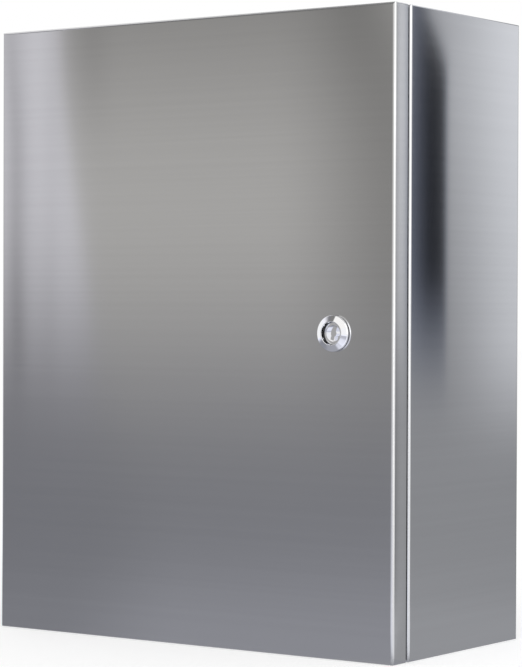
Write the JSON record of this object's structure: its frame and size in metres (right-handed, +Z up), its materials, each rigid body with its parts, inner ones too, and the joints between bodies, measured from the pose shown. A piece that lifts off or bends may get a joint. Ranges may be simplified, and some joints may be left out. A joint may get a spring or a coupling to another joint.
{
  "type": "electrical enclosure",
  "caption": "Wall-mounting sheet-metal enclosure with a hinged lift-over door, insert lock, equipment plate and blank cable plate.",
  "frame": {"origin": "middle of the back's outer face, which is the middle of the four wall holes", "axes": "+X to the right as seen from the front, +Y into the wall, +Z up"},
  "size_m": [0.39, 0.195, 0.5],
  "materials": {
    "brushed_stainless": "stainless sheet, brushed along the width",
    "stainless_plate": "stainless sheet, brushed",
    "galvanised_plate": "galvanised steel with a fine spangle",
    "hinge_steel": "plain stainless, tumbled",
    "zinc_plated": "bright zinc plating",
    "lock_chrome": "bright chrome on cast zinc",
    "seal_rubber": "matt black foamed rubber"
  },
  "bodies": {
    "enclosure": {"body_earth_nut": "zinc_plated", "body_earth_stud": "zinc_plated", "body_earth_washer": "zinc_plated", "body_shell": "brushed_stainless", "gland_gasket": "seal_rubber", "gland_nuts": "zinc_plated", "gland_plate": "stainless_plate", "gland_studs": "zinc_plated", "gland_washers": "zinc_plated", "hinge_body_leaf_lower": "hinge_steel", "hinge_body_leaf_upper": "hinge_steel", "hinge_pin_lower": "hinge_steel", "hinge_pin_upper": "hinge_steel", "hinge_rim_nuts": "zinc_plated", "hinge_rim_screws": "zinc_plated", "mounting_plate": "galvanised_plate", "plate_nuts": "zinc_plated", "plate_spacers": "zinc_plated", "plate_studs": "zinc_plated", "plate_washers": "zinc_plated"},
    "door": {"door_earth_nut": "zinc_plated", "door_earth_stud": "zinc_plated", "door_earth_washer": "zinc_plated", "door_gasket": "seal_rubber", "door_panel": "brushed_stainless", "hinge_door_leaf_lower": "hinge_steel", "hinge_door_leaf_upper": "hinge_steel", "hinge_door_nuts": "zinc_plated", "hinge_door_studs": "zinc_plated", "lock_gasket": "seal_rubber", "lock_housing": "lock_chrome", "lock_nut": "zinc_plated"},
    "lock": {"lock_core": "lock_chrome", "lock_cam": "zinc_plated", "cam_washer": "zinc_plated", "cam_screw": "zinc_plated"}
  },
  "joints": [
    {"name": "door_hinge", "type": "hinge", "parent": "enclosure", "child": "door", "pos_m": [-0.1882, -0.1823, 0], "axis": [0, 0, -1], "range_deg": [0, 120]},
    {"name": "lock_turn", "type": "hinge", "parent": "door", "child": "lock", "pos_m": [0.141, -0.1646, 0], "axis": [0, -1, 0], "range_deg": [0, 90]}
  ]
}
